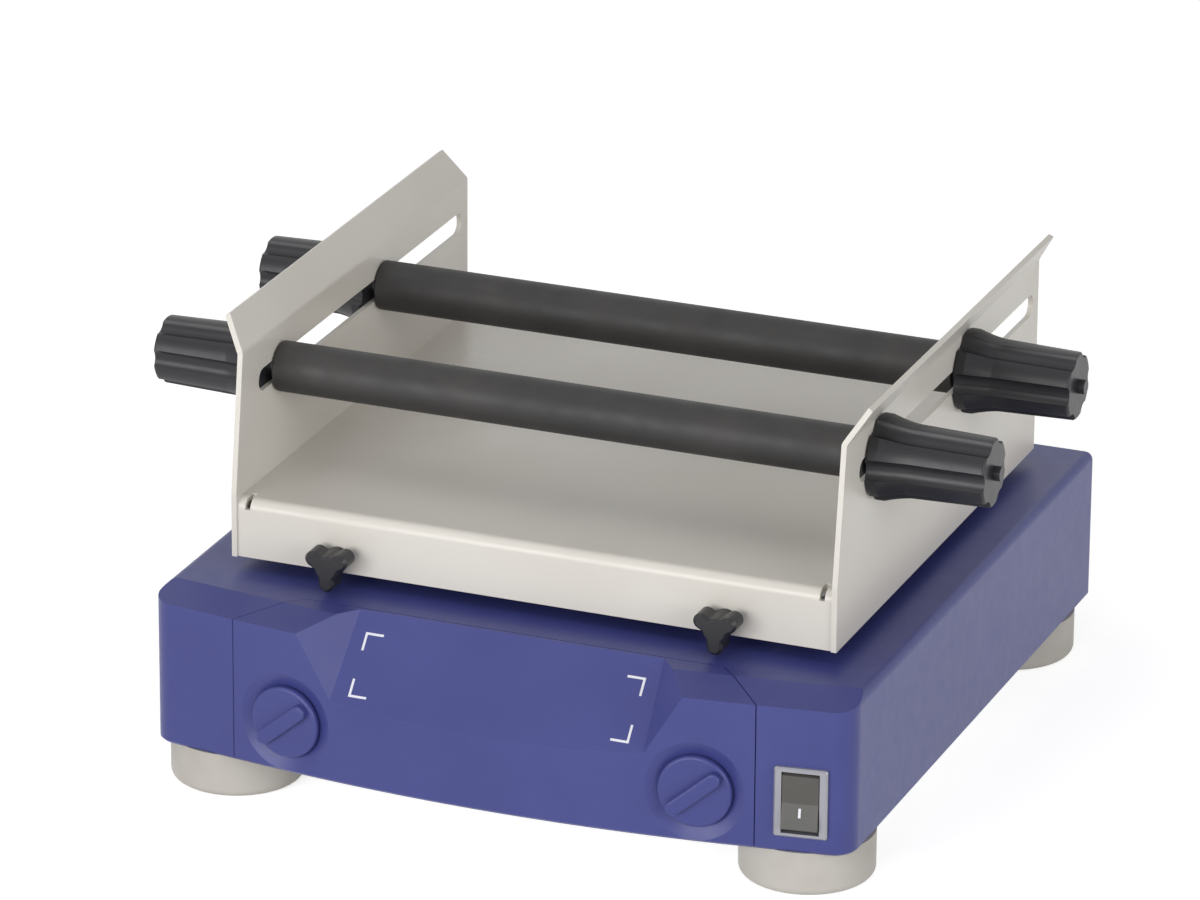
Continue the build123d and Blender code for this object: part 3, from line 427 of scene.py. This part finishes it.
add_window_corners()
add_rocker_mark()


# Stage

FLOOR_COLOR = (0.8, 0.8, 0.8, 1)
FLOOR_GLOW = 0.66
FLOOR_REACH = 6
FLOOR_DROP = -0.1 * MM
WORLD_LIGHT = 0.28
WORLD_SEEN = 1
AIM = Vector((0, 0, 0.08))

# Name, place, width and height, power
LAMPS = (
    ("key_right", (1.9, -0.9, 0.7), (1.4, 1.0), 17),
    ("front_fill", (-0.5, -2.1, 0.6), (1.8, 1.0), 29),
    ("top_soft", (-0.8, -0.3, 1.7), (1.2, 1.2), 4),
)


def add_camera():
    """Camera where the photograph was taken from."""
    azimuth = radians(CAMERA_AZIMUTH)
    elevation = radians(CAMERA_ELEVATION)
    back = Vector((sin(azimuth) * cos(elevation), -cos(azimuth) * cos(elevation), sin(elevation)))
    camera = bpy.data.objects.new("camera", bpy.data.cameras.new("camera"))
    bpy.context.scene.collection.objects.link(camera)
    camera.location = CAMERA_TARGET + back * CAMERA_DISTANCE
    turn = (-back).to_track_quat("-Z", "Y").to_matrix()
    camera.rotation_euler = (turn @ Matrix.Rotation(radians(CAMERA_ROLL), 3, "Z")).to_euler()
    camera.data.lens = CAMERA_LENS
    camera.data.sensor_width = CAMERA_SENSOR
    camera.data.clip_end = CAMERA_REACH
    bpy.context.scene.camera = camera


def seen_directly(tree):
    """One for camera, mirror and glass rays, zero for the light on the object."""
    path = tree.nodes.new("ShaderNodeLightPath")
    share = path.outputs["Is Camera Ray"]
    for name in ("Is Glossy Ray", "Is Transmission Ray"):
        larger = tree.nodes.new("ShaderNodeMath")
        larger.operation = "MAXIMUM"
        tree.links.new(share, larger.inputs[0])
        tree.links.new(path.outputs[name], larger.inputs[1])
        share = larger.outputs[0]
    return share


def floor_material(color, glow):
    """Pale floor that reads as white where it is lit and keeps the shadow."""
    material = bpy.data.materials.new("floor_white")
    material.use_nodes = True
    tree = material.node_tree
    tree.nodes.clear()
    output = tree.nodes.new("ShaderNodeOutputMaterial")
    diffuse = tree.nodes.new("ShaderNodeBsdfDiffuse")
    diffuse.inputs["Color"].default_value = color
    emission = tree.nodes.new("ShaderNodeEmission")
    emission.inputs["Strength"].default_value = glow
    seen = tree.nodes.new("ShaderNodeAddShader")
    tree.links.new(diffuse.outputs["BSDF"], seen.inputs[0])
    tree.links.new(emission.outputs["Emission"], seen.inputs[1])
    mix = tree.nodes.new("ShaderNodeMixShader")
    tree.links.new(seen_directly(tree), mix.inputs[0])
    tree.links.new(diffuse.outputs["BSDF"], mix.inputs[1])
    tree.links.new(seen.outputs["Shader"], mix.inputs[2])
    tree.links.new(mix.outputs["Shader"], output.inputs["Surface"])
    return material


def add_floor():
    mesh = bpy.data.meshes.new("floor")
    signs = ((-1, -1), (1, -1), (1, 1), (-1, 1))
    corners = [(x * FLOOR_REACH, y * FLOOR_REACH, FLOOR_DROP) for x, y in signs]
    mesh.from_pydata(corners, [], [(0, 1, 2, 3)])
    floor = bpy.data.objects.new("floor", mesh)
    bpy.context.scene.collection.objects.link(floor)
    mesh.materials.append(floor_material(FLOOR_COLOR, FLOOR_GLOW))


def add_area(name, location, size, power):
    """Rectangular lamp turned towards the object."""
    light = bpy.data.lights.new(name, "AREA")
    light.shape = "RECTANGLE"
    light.size, light.size_y = size
    light.energy = power
    lamp = bpy.data.objects.new(name, light)
    bpy.context.scene.collection.objects.link(lamp)
    lamp.location = location
    direction = AIM - Vector(location)
    lamp.rotation_euler = direction.to_track_quat("-Z", "Y").to_euler()


def set_world(light, seen):
    """Even light from all round, brighter where it is seen in a polished surface."""
    world = bpy.data.worlds.new("studio")
    bpy.context.scene.world = world
    world.use_nodes = True
    tree = world.node_tree
    around = tree.nodes["Background"]
    around.inputs["Color"].default_value = (1, 1, 1, 1)
    around.inputs["Strength"].default_value = light
    backdrop = tree.nodes.new("ShaderNodeBackground")
    backdrop.inputs["Color"].default_value = (1, 1, 1, 1)
    backdrop.inputs["Strength"].default_value = seen
    mix = tree.nodes.new("ShaderNodeMixShader")
    tree.links.new(seen_directly(tree), mix.inputs[0])
    tree.links.new(around.outputs["Background"], mix.inputs[1])
    tree.links.new(backdrop.outputs["Background"], mix.inputs[2])
    tree.links.new(mix.outputs["Shader"], tree.nodes["World Output"].inputs["Surface"])


add_camera()
add_floor()
for lamp_settings in LAMPS:
    add_area(*lamp_settings)
set_world(WORLD_LIGHT, WORLD_SEEN)
bpy.context.scene.view_settings.view_transform = "Standard"
